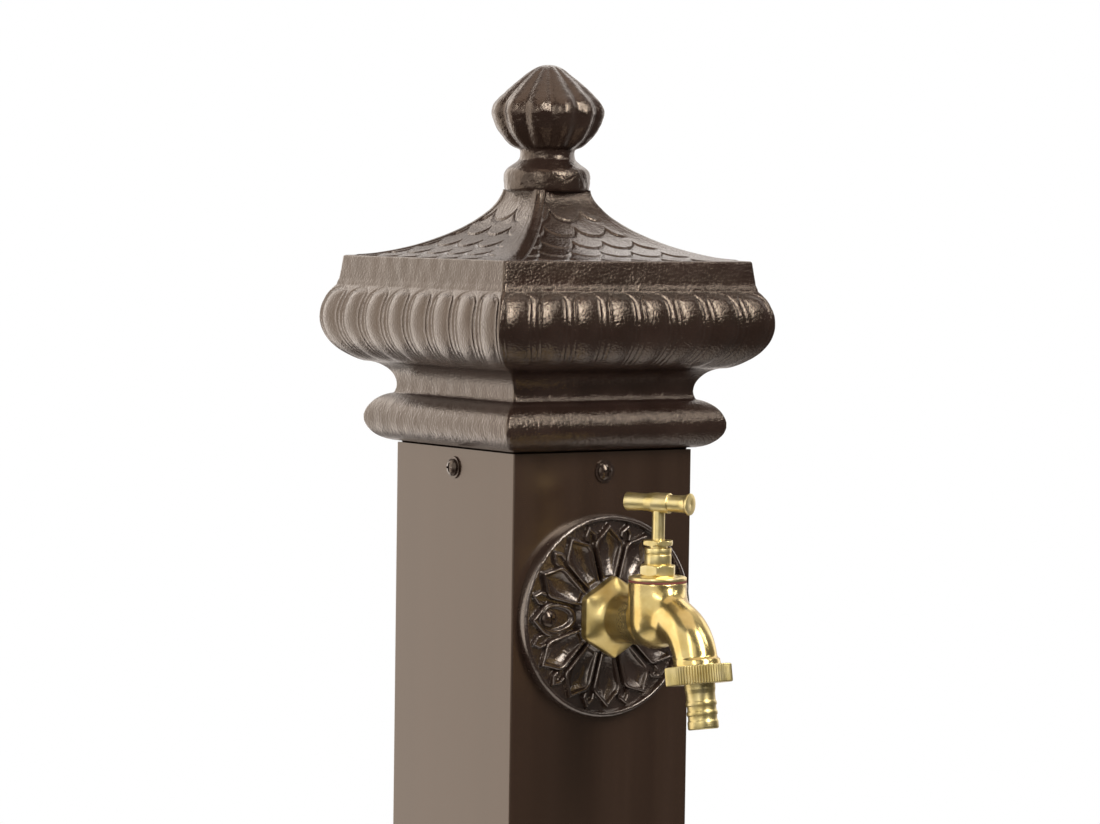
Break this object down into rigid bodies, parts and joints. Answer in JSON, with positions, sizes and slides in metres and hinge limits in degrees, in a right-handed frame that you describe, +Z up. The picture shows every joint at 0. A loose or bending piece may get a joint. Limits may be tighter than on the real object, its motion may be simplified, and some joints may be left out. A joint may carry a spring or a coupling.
{
  "type": "garden standpipe",
  "caption": "Square painted garden standpipe with an ornate cast cap, a flower rosette, a brass bib tap with a tee handle and a barbed hose union, on a bolt-down plinth.",
  "frame": {"origin": "on the ground, at the centre of the square base and of its bolt pattern", "axes": "+Z up the post, -Y out of the face that carries the tap, +X to the right for someone facing the tap"},
  "size_m": [0.17, 0.2257, 0.999],
  "materials": {
    "post_paint": "satin dark brown paint on smooth steel tube",
    "cast_paint": "satin dark brown paint on a sand casting",
    "screw_paint": "satin dark brown paint",
    "cast_brass": "polished golden casting",
    "turned_brass": "fine turned satin",
    "black_rubber": "matte",
    "red_fibre": "pressed fibre",
    "packing": "twisted packing",
    "copper_pipe": "drawn copper tube"
  },
  "bodies": {
    "standpipe": {"post": "post_paint", "cap": "cast_paint", "cap_screws": "screw_paint", "cap_washers": "screw_paint", "base_plinth": "cast_paint", "base_screws": "screw_paint", "base_washers": "screw_paint", "rosette": "cast_paint", "rosette_screws": "screw_paint", "tap_body": "cast_brass", "bonnet_washer": "red_fibre", "bonnet": "turned_brass", "gland_packing": "packing", "gland_nut": "turned_brass", "lock_nut": "turned_brass", "elbow": "cast_brass", "compression_nuts": "cast_brass", "olives": "turned_brass", "riser_pipe": "copper_pipe", "inlet_adaptor": "cast_brass"},
    "valve": {"jumper": "turned_brass", "valve_washer": "black_rubber", "washer_nut": "turned_brass"},
    "spindle": {"spindle": "turned_brass", "tee_bar": "turned_brass"},
    "hose_tail": {"hose_tail": "turned_brass", "union_washer": "black_rubber"},
    "union_nut": {"union_nut": "turned_brass"}
  },
  "joints": [
    {"name": "valve_lift", "type": "slide", "parent": "standpipe", "child": "valve", "axis": [0, 0, 1], "range_m": [0, 0.0055]},
    {"name": "handle_turn", "type": "hinge", "parent": "valve", "child": "spindle", "pos_m": [0, -0.093, 0.7445], "axis": [0, 0, 1], "range_deg": [0, 991]},
    {"name": "hose_tail_drop", "type": "slide", "parent": "standpipe", "child": "hose_tail", "axis": [0, -0.1736, -0.9848], "range_m": [0, 0.0036]},
    {"name": "union_nut_turn", "type": "hinge", "parent": "hose_tail", "child": "union_nut", "pos_m": [0, -0.12455, 0.72877], "axis": [0, -0.1736, -0.9848], "range_deg": [0, 720]}
  ],
  "couplings": [
    {"joint": "handle_turn", "follows": "valve_lift", "rad_per_m": 3141.6},
    {"joint": "union_nut_turn", "follows": "hose_tail_drop", "rad_per_m": 3463.7}
  ]
}
